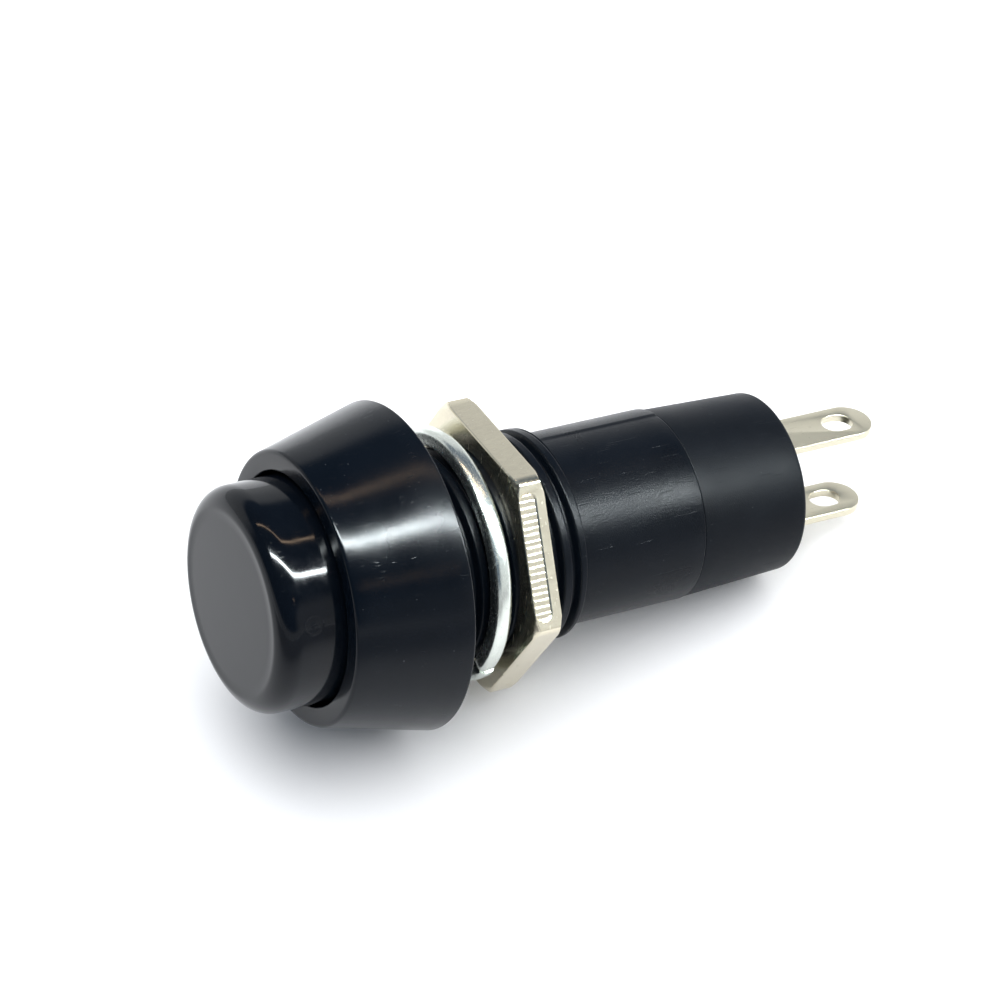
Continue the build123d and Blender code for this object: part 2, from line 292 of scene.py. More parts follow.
def turned_mesh(name, outline, angles, shape=None):
    """A closed mesh turned about Y from (radius, y) points. shape(angle, radius, y) may move a point."""
    bm = bmesh.new()
    rings = []
    for r, y in outline:
        if r < 1e-7:
            rings.append([bm.verts.new((0, y, 0))])
            continue
        ring = []
        for a in angles:
            rr, yy = shape(a, r, y) if shape else (r, y)
            ring.append(bm.verts.new((rr * math.sin(a), yy, rr * math.cos(a))))
        rings.append(ring)
    count = len(angles)
    for low, high in zip(rings, rings[1:] + rings[:1]):
        for k in range(count):
            m = (k + 1) % count
            corners = [low[k % len(low)], low[m % len(low)], high[m % len(high)], high[k % len(high)]]
            face = list(dict.fromkeys(corners))
            if len(face) > 2:
                bm.faces.new(face)
    return finished_mesh(name, bm)


def linked(name, data):
    """A new object in the scene."""
    thing = bpy.data.objects.new(name, data)
    bpy.context.scene.collection.objects.link(thing)
    return thing


def linked_mesh(name, bm):
    """A new mesh object from a bmesh, which is freed."""
    mesh = bpy.data.meshes.new(name)
    bm.to_mesh(mesh)
    bm.free()
    return linked(name, mesh)


def shade(bm, smooth_angle):
    """Smooth shading that breaks at sharp edges."""
    limit = math.radians(smooth_angle)
    for f in bm.faces:
        f.smooth = True
    for e in bm.edges:
        e.smooth = len(e.link_faces) == 2 and e.calc_face_angle(0) < limit


def finished_mesh(name, bm, smooth_angle=35):
    """Turns a bmesh into an object with outward normals and smooth shading that breaks at sharp edges."""
    bmesh.ops.remove_doubles(bm, verts=bm.verts, dist=1e-8)
    bmesh.ops.recalc_face_normals(bm, faces=bm.faces)
    shade(bm, smooth_angle)
    return linked_mesh(name, bm)


def even_angles(count):
    """Angles of a full turn."""
    return [TURN * k / count for k in range(count)]


def applied(piece):
    """Replaces a piece's modifiers by their result, as one plain mesh."""
    graph = bpy.context.evaluated_depsgraph_get()
    mesh = bpy.data.meshes.new_from_object(piece.evaluated_get(graph))
    piece.modifiers.clear()
    old = piece.data
    piece.data = mesh
    mesh.name = piece.name
    if isinstance(old, bpy.types.Mesh):
        bpy.data.meshes.remove(old)
    return piece


def resharpened(piece, smooth_angle=35):
    """Sets smooth shading again after a modifier has made new faces."""
    bm = bmesh.new()
    bm.from_mesh(piece.data)
    bmesh.ops.remove_doubles(bm, verts=bm.verts, dist=1e-7)
    shade(bm, smooth_angle)
    bm.to_mesh(piece.data)
    bm.free()
    return piece


def cut(piece, tool, operation="DIFFERENCE"):
    """Applies a boolean between two pieces and deletes the tool."""
    change = piece.modifiers.new("cut", "BOOLEAN")
    change.operation = operation
    change.solver = "EXACT"
    change.object = tool
    bpy.context.view_layer.update()
    applied(piece)
    bpy.data.objects.remove(tool)
    return piece


def box_mesh(name, low, high):
    """A box between two corners, used as a cutting tool."""
    bm = bmesh.new()
    bmesh.ops.create_cube(bm, size=1.0)
    for v in bm.verts:
        v.co = Vector((low[i] + (high[i] - low[i]) * (v.co[i] + 0.5) for i in range(3)))
    return finished_mesh(name, bm)


def outline_prism(name, points, axis, low, high):
    """A prism of a flat outline. axis is the direction that it is thick in, "X" or "Z"."""
    bm = bmesh.new()
    sides = []
    for level in (low, high):
        if axis == "Z":
            sides.append([bm.verts.new((u, v, level)) for u, v in points])
        else:
            sides.append([bm.verts.new((level, u, v)) for u, v in points])
    bm.faces.new(sides[0])
    bm.faces.new(list(reversed(sides[1])))
    count = len(points)
    for k in range(count):
        m = (k + 1) % count
        bm.faces.new((sides[0][k], sides[1][k], sides[1][m], sides[0][m]))
    return finished_mesh(name, bm)


def bevelled(piece, width, segments=3):
    """Rounds the sharp edges of a piece."""
    change = piece.modifiers.new("edges", "BEVEL")
    change.width = width
    change.segments = segments
    change.limit_method = "ANGLE"
    change.angle_limit = math.radians(40)
    change.harden_normals = False
    applied(piece)
    return resharpened(piece, 50)


# ---------------------------------------------------------------- geometry nodes


class Tree:
    """A short way to write a node tree: add nodes, link their sockets, do arithmetic."""

    def __init__(self, tree):
        self.tree = tree

    def add(self, kind, inputs=None, **settings):
        node = self.tree.nodes.new(kind)
        for key, value in settings.items():
            setattr(node, key, value)
        for key, value in (inputs or {}).items():
            self.feed(node.inputs[key], value)
        return node

    def feed(self, socket, value):
        if isinstance(value, bpy.types.NodeSocket):
            self.tree.links.new(value, socket)
        else:
            socket.default_value = value

    def math(self, operation, *values, clamp=False):
        node = self.tree.nodes.new("ShaderNodeMath")
        node.operation = operation
        node.use_clamp = clamp
        for i, value in enumerate(values):
            self.feed(node.inputs[i], value)
        return node.outputs[0]

    def times(self, *values):
        return self.math("MULTIPLY", *values)

    def plus(self, *values):
        return self.math("ADD", *values)

    def minus(self, *values):
        return self.math("SUBTRACT", *values)

    def over(self, *values, clamp=False):
        return self.math("DIVIDE", *values, clamp=clamp)


def geometry_tree(name, inputs):
    """A new geometry tree with a geometry input and the inputs given as (name, kind, default)."""
    tree = bpy.data.node_groups.new(name, "GeometryNodeTree")
    face = tree.interface
    face.new_socket("Geometry", in_out="INPUT", socket_type="NodeSocketGeometry")
    for label, kind, default in inputs:
        socket = face.new_socket(label, in_out="INPUT", socket_type=kind)
        if default is not None:
            socket.default_value = default
    face.new_socket("Geometry", in_out="OUTPUT", socket_type="NodeSocketGeometry")
    t = Tree(tree)
    source = t.add("NodeGroupInput")
    return t, source


def end_tree(t, source, geometry):
    """Ends a geometry tree in Realize Instances and Set Material."""
    real = t.add("GeometryNodeRealizeInstances", {"Geometry": geometry})
    coat = t.add("GeometryNodeSetMaterial", {"Geometry": real.outputs[0], "Material": source.outputs["Material"]})
    sink = t.add("NodeGroupOutput")
    t.tree.links.new(coat.outputs[0], sink.inputs[0])
    return t.tree


def run_tree(piece, tree, values):
    """Puts a geometry tree on a piece with its inputs set, and turns the result into a plain mesh."""
    change = piece.modifiers.new(tree.name, "NODES")
    change.node_group = tree
    ids = {s.name: s.identifier for s in tree.interface.items_tree if s.in_out == "INPUT"}
    for label, value in values.items():
        change[ids[label]] = value
    bpy.context.view_layer.update()
    return applied(piece)


def smooth_step(t, value, low, high):
    """0 below low, 1 above high, smooth between them."""
    node = t.add(
        "ShaderNodeMapRange", {"Value": value, "From Min": low, "From Max": high}, interpolation_type="SMOOTHSTEP"
    )
    return node.outputs["Result"]


def thread_tree():
    """Cuts a helical groove in a surface turned about Y: inwards where depth is positive, else outwards."""
    sizes = ("Surface Radius", "Depth", "Mouth", "Root", "Pitch", "Start", "From", "To")
    inputs = [(label, "NodeSocketFloat", 0.0) for label in sizes] + [("Material", "NodeSocketMaterial", None)]
    t, source = geometry_tree("thread_groove", inputs)
    get = source.outputs
    place = t.add("GeometryNodeInputPosition")
    parts = t.add("ShaderNodeSeparateXYZ", {0: place.outputs[0]})
    x, y, z = parts.outputs
    radius = t.math("SQRT", t.plus(t.times(x, x), t.times(z, z)))
    turn = t.over(t.minus(t.math("ARCTAN2", x, z), TURN / 4), TURN)
    rise = t.over(t.minus(y, get["Start"]), get["Pitch"])
    phase = t.minus(rise, turn)
    off = t.minus(phase, t.math("ROUND", phase))
    away = t.times(t.math("ABSOLUTE", off), get["Pitch"])
    cut_share = t.minus(1.0, smooth_step(t, away, t.times(get["Root"], 0.5), t.times(get["Mouth"], 0.5)))
    off_surface = t.math("ABSOLUTE", t.minus(radius, get["Surface Radius"]))
    on_surface = t.math("LESS_THAN", off_surface, SURFACE_SLACK)
    inside = t.times(t.math("GREATER_THAN", y, get["From"]), t.math("LESS_THAN", y, get["To"]))
    # the groove fades in from its first turn, as a thread's run-out does
    begun = smooth_step(t, t.minus(rise, turn), -0.35, 0.1)
    move = t.times(t.times(cut_share, begun), t.times(on_surface, inside))
    amount = t.times(t.times(move, get["Depth"]), -1.0)
    outwards = t.add("ShaderNodeCombineXYZ", {0: t.over(x, radius), 2: t.over(z, radius)})
    offset = t.add("ShaderNodeVectorMath", {0: outwards.outputs[0], "Scale": amount}, operation="SCALE")
    moved = t.add("GeometryNodeSetPosition", {"Geometry": get["Geometry"], "Offset": offset.outputs[0]})
    return end_tree(t, source, moved.outputs[0])


def rib_tree():
    """Sinks a pocket with round ends in the flat that faces +X, raises a row of fine ribs in it, and stores painted
    shade for the pocket.
    """
    sizes = ("Surface", "Length", "Width", "Depth", "Rib Pitch", "Rib Height", "Middle")
    inputs = [(label, "NodeSocketFloat", 0.0) for label in sizes]
    inputs += [("Seed", "NodeSocketFloat", 3.0), ("Material", "NodeSocketMaterial", None)]
    t, source = geometry_tree("ribbed_flat", inputs)
    get = source.outputs
    place = t.add("GeometryNodeInputPosition")
    x, y, z = t.add("ShaderNodeSeparateXYZ", {0: place.outputs[0]}).outputs
    half_width = t.times(get["Width"], 0.5)
    straight = t.minus(t.times(get["Length"], 0.5), half_width)
    along = t.math("MAXIMUM", t.minus(t.math("ABSOLUTE", z), straight), 0.0)
    across = t.minus(y, get["Middle"])
    away = t.math("SQRT", t.plus(t.times(along, along), t.times(across, across)))
    inner = t.minus(half_width, away)
    pocket = smooth_step(t, inner, -0.00002, 0.00006)
    bed = smooth_step(t, inner, 0.0, 0.0001)
    flat = t.math("GREATER_THAN", x, t.minus(get["Surface"], SURFACE_SLACK))
    place_along = t.plus(t.times(z, 900.0), get["Seed"])
    wander = t.add("ShaderNodeTexNoise", {"W": place_along, "Scale": 1.0}, noise_dimensions="1D")
    uneven = t.times(t.minus(wander.outputs[0], 0.5), 3.2)
    wave = t.math("SINE", t.plus(t.times(t.over(z, get["Rib Pitch"]), TURN), uneven))
    rib = t.math("POWER", t.times(t.plus(wave, 1.0), 0.5), 0.9)
    height = t.times(t.times(rib, get["Rib Height"]), bed)
    sink = t.times(pocket, get["Depth"])
    amount = t.times(t.minus(height, sink), flat)
    offset = t.add("ShaderNodeCombineXYZ", {0: amount})
    moved = t.add("GeometryNodeSetPosition", {"Geometry": get["Geometry"], "Offset": offset.outputs[0]})
    # painted shade: the pocket is darkened, most between the ribs; the same mask makes the plating there dull
    painted_shade = t.times(t.times(pocket, flat), t.minus(1.0, t.times(rib, 0.75)))
    stored = t.add(
        "GeometryNodeStoreNamedAttribute",
        {"Geometry": moved.outputs[0], "Name": "pocket_painted_shade", "Value": painted_shade},
        data_type="FLOAT",
        domain="POINT",
    )
    return end_tree(t, source, stored.outputs[0])


def spring_tree():
    """A compression spring along Y, with turns that lie flat at each end."""
    sizes = ("Mean Radius", "Wire", "Low", "High", "Turns", "Closed Turns")
    inputs = [(label, "NodeSocketFloat", 1.0) for label in sizes] + [("Material", "NodeSocketMaterial", None)]
    t, source = geometry_tree("compression_spring", inputs)
    get = source.outputs
    line = t.add("GeometryNodeCurvePrimitiveLine")
    fine = t.add("GeometryNodeResampleCurve", {"Curve": line.outputs[0], "Count": 420})
    along = t.add("GeometryNodeSplineParameter").outputs["Factor"]
    turn = t.times(along, get["Turns"])
    round_angle = t.times(turn, TURN)
    open_turns = t.minus(get["Turns"], t.times(get["Closed Turns"], 2.0))
    risen = t.over(t.minus(turn, get["Closed Turns"]), open_turns, clamp=True)
    low = t.plus(get["Low"], t.times(get["Wire"], 0.5))
    high = t.minus(get["High"], t.times(get["Wire"], 0.5))
    lift = t.times(t.math("MINIMUM", turn, get["Closed Turns"]), t.times(get["Wire"], CLOSED_RISE))
    last = t.math("MAXIMUM", t.minus(turn, t.minus(get["Turns"], get["Closed Turns"])), 0.0)
    lift_end = t.times(last, t.times(get["Wire"], CLOSED_RISE))
    both = t.times(t.times(get["Closed Turns"], get["Wire"]), 2 * CLOSED_RISE)
    travel = t.minus(t.minus(high, low), both)
    y = t.plus(t.plus(low, t.plus(lift, lift_end)), t.times(risen, travel))
    x = t.times(t.math("SINE", round_angle), get["Mean Radius"])
    z = t.times(t.math("COSINE", round_angle), get["Mean Radius"])
    place = t.add("ShaderNodeCombineXYZ", {0: x, 1: y, 2: z})
    coil = t.add("GeometryNodeSetPosition", {"Geometry": fine.outputs[0], "Position": place.outputs[0]})
    section = t.add("GeometryNodeCurvePrimitiveCircle", {"Resolution": 16, "Radius": t.times(get["Wire"], 0.5)})
    wire = t.add(
        "GeometryNodeCurveToMesh", {"Curve": coil.outputs[0], "Profile Curve": section.outputs[0], "Fill Caps": True}
    )
    return end_tree(t, source, wire.outputs[0])


# ---------------------------------------------------------------- materials


def new_material(name):
    """A material with one Principled shader, and a short writer for its tree."""
    material = bpy.data.materials.new(name)
    material.use_nodes = True
    t = Tree(material.node_tree)
    shader = next(n for n in material.node_tree.nodes if n.type == "BSDF_PRINCIPLED")
    return material, t, shader


def millimetres(t):
    """Object coordinates in millimetres, so that a noise scale is features per millimetre."""
    where = t.add("ShaderNodeTexCoord")
    return scaled(t, where.outputs["Object"], (1000, 1000, 1000))


def scaled(t, where, scale):
    """Coordinates scaled by three numbers."""
    return t.add("ShaderNodeMapping", {"Vector": where, "Scale": scale}).outputs[0]


def noise(t, where, scale, detail=3.0, roughness=0.55, distortion=0.0):
    """A noise texture's value."""
    node = t.add(
        "ShaderNodeTexNoise",
        {"Vector": where, "Scale": scale, "Detail": detail, "Roughness": roughness, "Distortion": distortion},
    )
    return node.outputs["Fac"]


def spread(t, value, low, high, out_low, out_high):
    """Maps a value's range to another, clamped."""
    node = t.add(
        "ShaderNodeMapRange",
        {"Value": value, "From Min": low, "From Max": high, "To Min": out_low, "To Max": out_high},
    )
    return node.outputs["Result"]


def blend_colours(t, factor, first, second):
    """Mixes two colours."""
    node = t.add("ShaderNodeMix", {"Factor": factor}, data_type="RGBA")
    t.feed(node.inputs[6], first)
    t.feed(node.inputs[7], second)
    return node.outputs[2]


def bump(t, height, strength, distance_mm, normal=None):
    """A bump from a height, in millimetres."""
    node = t.add("ShaderNodeBump", {"Height": height, "Strength": strength, "Distance": distance_mm * MM})
    if normal is not None:
        t.feed(node.inputs["Normal"], normal)
    return node.outputs[0]


def hairlines(t, where, scale, stretch, keep):
    """Thin short scratches: the peaks of a noise that is stretched along one axis."""
    streaks = noise(t, scaled(t, where, stretch), scale, 0.0)
    return spread(t, streaks, 1.0 - keep, 1.04 - keep, 0.0, 1.0)


def rgba(c, factor=1.0):
    """A colour with alpha from three numbers."""
    return (c[0] * factor, c[1] * factor, c[2] * factor, 1.0)


def satin_plastic(name, base, roughness=0.2, polish=0.09, grain=0.3, sheen=0.16):
    """Moulded satin black plastic: fine grain, faint flow marks, a few handling marks and dust."""
    material, t, shader = new_material(name)
    where = millimetres(t)
    flow = noise(t, where, 0.35, 2.0, 0.4, 0.3)
    fine = noise(t, where, 14.0, 2.0, 0.6)
    marks = hairlines(t, where, 9.0, (1.0, 0.06, 1.0), 0.23)
    dust = spread(t, noise(t, where, 5.0, 1.0, 0.5), 0.77, 0.80, 0.0, 1.0)
    tone = blend_colours(t, flow, rgba(base, 0.75), rgba(base, 1.35))
    tone = blend_colours(t, t.times(dust, 0.5), tone, (0.05, 0.055, 0.06, 1))
    t.feed(shader.inputs["Base Color"], tone)
    rough = spread(t, flow, 0.3, 0.7, roughness - 0.03, roughness + 0.03)
    rough = t.plus(rough, t.times(fine, 0.05))
    rough = t.plus(rough, t.times(marks, 0.08))
    # the front of the bezel is polished by handling
    front = spread(t, t.add("ShaderNodeSeparateXYZ", {0: where}).outputs[1], -6.2, 0.0, polish, 0.0)
    t.feed(shader.inputs["Roughness"], t.minus(rough, front))
    height = t.minus(fine, t.times(marks, 0.5))
    t.feed(shader.inputs["Normal"], bump(t, flow, 0.2, 0.03, bump(t, height, grain, 0.012)))
    shader.inputs["IOR"].default_value = PLASTIC_IOR
    shader.inputs["Specular IOR Level"].default_value = sheen
    return material


def gloss_plastic(name, base):
    """Polished black plastic: near-mirror gloss with slight moulding ripple, fine wipe marks and a small rub."""
    material, t, shader = new_material(name)
    where = millimetres(t)
    ripple = noise(t, where, 0.5, 2.0, 0.5)
    wipes = hairlines(t, where, 9.0, (1.0, 0.08, 1.0), 0.22)
    haze = noise(t, where, 1.6, 4.0, 0.6)
    t.feed(shader.inputs["Base Color"], blend_colours(t, haze, rgba(base, 0.8), rgba(base, 1.3)))
    rough = spread(t, haze, 0.3, 0.75, 0.07, 0.14)
    t.feed(shader.inputs["Roughness"], t.plus(rough, t.times(wipes, 0.12)))
    # the mark that the mould's gate leaves on the side: a faint ring round a dot
    away = t.add("ShaderNodeVectorMath", {0: where, 1: GATE_MARK}, operation="DISTANCE").outputs["Value"]
    rim = spread(t, t.math("ABSOLUTE", t.minus(away, 0.52)), 0.0, 0.1, 1.0, 0.0)
    dot = spread(t, away, 0.08, 0.2, 1.0, 0.0)
    mark = bump(t, t.math("MAXIMUM", t.times(rim, haze), dot), 0.6, 0.03)
    t.feed(shader.inputs["Normal"], bump(t, ripple, 0.12, 0.04, mark))
    shader.inputs["IOR"].default_value = PLASTIC_IOR
    shader.inputs["Specular IOR Level"].default_value = 0.18
    return material


def plated_metal(name, base, roughness, lines=(1.0, 0.25, 1.0), line_strength=0.12, pitted=0.0, painted_shade=None):
    """Plated metal: cloudy plating over drawn lines, a few scratches, and pits where the plating is poor.

    The named point attribute says where shade is painted dark on the metal, and where the metal is dull.
    """
    material, t, shader = new_material(name)
    where = millimetres(t)
    drawn = noise(t, scaled(t, where, lines), 7.0, 2.0, 0.5)
    cloud = noise(t, where, 0.6, 3.0, 0.6, 0.5)
    scratches = hairlines(t, where, 9.0, (1.0, 0.6, 0.08), 0.24)
    pits = spread(t, noise(t, where, 6.5, 1.0, 0.5), 0.70, 0.78, 0.0, pitted)
    tone = blend_colours(t, cloud, rgba(base, 0.88), rgba(base, 1.04))
    tone = blend_colours(t, t.times(pits, 0.5), tone, rgba(base, 0.45))
    # painted shade: the attribute darkens the colour towards a tenth of the base, and below it also raises the
    # roughness
    if painted_shade:
        dull_and_shaded = t.add("ShaderNodeAttribute", attribute_name=painted_shade, attribute_type="GEOMETRY").outputs["Fac"]
        tone = blend_colours(t, t.times(dull_and_shaded, 0.75), tone, rgba(base, 0.1))
    t.feed(shader.inputs["Base Color"], tone)
    rough = spread(t, drawn, 0.3, 0.7, roughness - 0.03, roughness + 0.04)
    rough = t.plus(rough, t.times(cloud, 0.05))
    rough = t.plus(rough, t.times(scratches, 0.06))
    if painted_shade:
        rough = t.plus(rough, t.times(dull_and_shaded, 0.12))
    t.feed(shader.inputs["Roughness"], rough)
    scored = bump(t, drawn, line_strength, 0.006)
    t.feed(shader.inputs["Normal"], bump(t, pits, 0.3, -0.01, scored))
    shader.inputs["Metallic"].default_value = 1.0
    return material


def nylon(name, base):
    """Natural nylon: slightly translucent, faintly mottled."""
    material, t, shader = new_material(name)
    where = millimetres(t)
    mottle = noise(t, where, 0.8, 3.0, 0.5)
    t.feed(shader.inputs["Base Color"], blend_colours(t, mottle, rgba(base, 0.9), rgba(base, 1.05)))
    t.feed(shader.inputs["Roughness"], spread(t, mottle, 0.3, 0.7, 0.38, 0.5))
    t.feed(shader.inputs["Normal"], bump(t, noise(t, where, 10.0), 0.15, 0.01))
    shader.inputs["Subsurface Weight"].default_value = 0.15
    shader.inputs["Subsurface Radius"].default_value = (0.001, 0.001, 0.0008)
    return material


def white_floor(name, base):
    """Plain white paper with a faint tooth."""
    material, t, shader = new_material(name)
    where = millimetres(t)
    tooth = noise(t, where, 2.5, 3.0, 0.6)
    t.feed(shader.inputs["Base Color"], blend_colours(t, tooth, rgba(base, 0.99), rgba(base, 1.0)))
    shader.inputs["Roughness"].default_value = 0.6
    shader.inputs["Specular IOR Level"].default_value = 0.0
    t.feed(shader.inputs["Normal"], bump(t, tooth, 0.03, 0.02))
    return material


def grey_card(name, base, away):
    """Card of painted shade, seen in reflections alone: it starts as pale as the floor and darkens towards the
    camera.
    """
    material, t, shader = new_material(name)
    where = millimetres(t)
    far = t.add("ShaderNodeVectorMath", {0: where, 1: away}, operation="DOT_PRODUCT").outputs["Value"]
    pale = smooth_step(t, far, *CARD_FADE)
    # painted shade: the card's colour darkens towards the camera, standing in for the shaded floor in front
    t.feed(shader.inputs["Base Color"], blend_colours(t, pale, rgba(base, CARD_DARKEST), rgba(base, 1.0)))
    shader.inputs["Specular IOR Level"].default_value = 0.0
    return material


def coat(piece, material):
    """Gives a piece one material."""
    piece.data.materials.clear()
    piece.data.materials.append(material)


def material_called(name, maker, *values, **options):
    """The material of that name, made once."""
    return bpy.data.materials.get(name) or maker(name, *values, **options)


# ---------------------------------------------------------------- operators


class MakeHousing(bpy.types.Operator):
    """The bezel, the threaded barrel and the smooth barrel, as one moulding"""

    bl_idname = "push_button.housing"
    bl_label = "Housing"

    def execute(self, context):
        s = context.scene.button_housing
        bezel_radius = HOUSING_HIGH.x
        front = HOUSING_LOW.y
        seam = HOUSING_HIGH.y
        edge = s.edge_radius
        corners = [
            (s.recess_radius, front, 0.5 * edge),
            (s.front_radius, front, edge),
            (bezel_radius, 0, 0.4 * edge),
            (s.crest_radius, 0, 0),
            (s.crest_radius, s.thread_end, 0.3 * edge),
            (s.barrel_radius, s.thread_end, 0),
            (s.barrel_radius, seam, 0.25 * edge),
            (s.chamber_radius, seam, 0),
            (s.chamber_radius, s.guide_end, 0),
            (s.guide_radius, s.guide_end, 0),
            (s.guide_radius, s.recess_floor, 0),
            (s.recess_radius, s.recess_floor, 0),
        ]
        thread_step = 0.045 * MM

        def step_of(point):
            return thread_step if abs(point.x - s.crest_radius) < 1e-6 else 0.8 * MM

        outline = spaced(rounded(corners), step_of)

        def shape(a, r, y):
            if abs(r - s.guide_radius) < 1e-7:
                across = abs(r * math.sin(a))
                return (r * min(1, s.guide_flats / 2 / across) if across else r), y
            if y > s.thread_end and r > s.barrel_radius - edge:
                away = math.remainder(a - s.band_angle, TURN) * s.barrel_radius
                rise = min(1, max(0, (s.band_width / 2 - abs(away)) / (0.06 * MM) + 0.5))
                return r + s.band_height * rise, y
            return r, y

        piece = turned_mesh("threaded_housing_shell", outline, even_angles(300), shape)
        plastic = material_called("satin_black_plastic", satin_plastic, tuple(s.plastic))
        run_tree(
            piece,
            thread_tree(),
            {
                "Surface Radius": s.crest_radius,
                "Depth": s.thread_depth,
                "Mouth": s.thread_mouth,
                "Root": s.thread_root,
                "Pitch": s.thread_pitch,
                "Start": s.thread_start,
                "From": 0.05 * MM,
                "To": s.thread_end,
                "Material": plastic,
            },
        )
        coat(piece, plastic)
        finish = {"roughness": 0.27, "polish": 0.0, "grain": 1.0, "sheen": 0.09}
        piece.data.materials.append(material_called("barrel_plastic", satin_plastic, tuple(s.plastic), **finish))
        for face in piece.data.polygons:
            if face.center.y > s.thread_start:
                face.material_index = 1
        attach(piece, "housing")
        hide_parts("threaded_housing")
        return {"FINISHED"}


class MakeButtonCap(bpy.types.Operator):
    """The glossy cap that the finger presses"""

    bl_idname = "push_button.cap"
    bl_label = "Button Cap"

    def execute(self, context):
        s = context.scene.button_cap
        radius = CAP_HIGH.x
        face = CAP_LOW.y
        skirt = CAP_HIGH.y
        inside = face + s.top
        corners = [
            (0, face, 0),
            (radius, face, s.edge_radius),
            (radius, skirt, 0.15 * MM),
            (radius - s.wall, skirt, 0.15 * MM),
            (radius - s.wall, inside, 0.3 * MM),
            (s.boss_radius, inside, 0.2 * MM),
            (s.boss_radius, s.boss_end, 0.1 * MM),
            (s.socket_radius, s.boss_end, 0),
            (s.socket_radius, s.boss_end - s.socket_depth, 0),
            (0, s.boss_end - s.socket_depth, 0),
        ]
        outline = spaced(rounded(corners, 14), lambda p: 0.5 * MM)
        flat_radius = radius - s.edge_radius

        def shape(a, r, y):
            if y < face + 1e-6:
                return r, face + s.crown * min(1, r / flat_radius) ** 2
            return r, y

        piece = turned_mesh("button_cap_moulding", outline, even_angles(256), shape)
        coat(piece, material_called("gloss_black_plastic", gloss_plastic, tuple(s.plastic)))
        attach(piece, "plunger")
        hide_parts("button_cap")
        return {"FINISHED"}


class MakeHexNut(bpy.types.Operator):
    """The thin hexagon nut, with its turned corners, its thread and a row of ribs on one flat"""

    bl_idname = "push_button.hex_nut"
    bl_label = "Hexagon Nut"

    def execute(self, context):
        s = context.scene.button_nut
        low, high = NUT_LOW.y, NUT_HIGH.y
        flat = s.flats / 2
        sixth = TURN / 6
        core = (flat - s.corner_round) / math.cos(sixth / 2)
        round_half = math.atan2(s.corner_round / 2, core + s.corner_round * math.cos(sixth / 2))
        corner_radius = core + s.corner_round
        drop = s.chamfer * math.tan(math.radians(30))

        def hexagon(a):
            from_flat = math.remainder(a - TURN / 4, sixth)
            from_corner = sixth / 2 - abs(from_flat)
            if from_corner < round_half:
                return core * math.cos(from_corner) + math.sqrt(
                    s.corner_round**2 - (core * math.sin(from_corner)) ** 2
                )
            return flat / math.cos(from_flat)

        def face_limit(y):
            depth = min(y - low, high - y)
            turned_off = corner_radius - s.chamfer + depth * s.chamfer / drop
            eased = NUT_EDGE - math.sqrt(max(0, NUT_EDGE**2 - max(0, NUT_EDGE - depth) ** 2))
            return turned_off, eased

        def shape(a, r, y):
            if r < flat - 0.2 * MM:
                return r, y
            turned_off, eased = face_limit(y)
            return min(hexagon(a) - eased, turned_off), y

        rows = math.ceil((high - low) / NUT_ROW)
        side = [(flat, low + (high - low) * k / rows) for k in range(rows + 1)]
        bore = [(s.bore_radius, high - (high - low) * k / rows) for k in range(rows + 1)]
        wide, narrow = NUT_FACE_RINGS
        outline = side + [(wide, high), (narrow, high)] + bore + [(narrow, low), (wide, low)]
        # the ribbed flat faces +X here and has the finest steps
        angles = []
        for k in range(6):
            steps = 210 if k == 0 else 36
            start = TURN / 4 - sixth / 2 + k * sixth
            angles.extend(start + sixth * n / steps for n in range(steps))
        piece = turned_mesh("hex_nut_body", outline, angles, shape)
        # the ribbed pocket gets painted shade, darkest between the ribs, from the attribute that the rib tree stores
        finish = {"roughness": 0.2, "line_strength": 0.05, "painted_shade": "pocket_painted_shade"}
        metal = material_called("nickel_plate", plated_metal, tuple(s.metal), **finish)
        run_tree(
            piece,
            rib_tree(),
            {
                "Surface": flat,
                "Length": s.pocket_length,
                "Width": s.pocket_width,
                "Depth": s.pocket_depth,
                "Rib Pitch": s.rib_pitch,
                "Rib Height": s.rib_height,
                "Middle": (low + high) / 2 - s.pocket_offset,
                "Material": metal,
            },
        )
        piece.data.transform(Matrix.Rotation(s.turn - TURN / 4 + sixth, 4, "Y"))
        h = context.scene.button_housing
        thread = bpy.data.node_groups.get("thread_groove") or thread_tree()
        run_tree(
            piece,
            thread,
            {
                "Surface Radius": s.bore_radius,
                "Depth": s.bore_radius - s.thread_radius,
                "Mouth": s.thread_mouth,
                "Root": s.thread_root,
                "Pitch": h.thread_pitch,
                "Start": h.thread_start + h.thread_pitch / 2,
                "From": low - 1 * MM,
                "To": high + 1 * MM,
                "Material": metal,
            },
        )
        resharpened(piece, 24)
        coat(piece, metal)
        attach(piece, "nut")
        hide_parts("hex_nut")
        return {"FINISHED"}


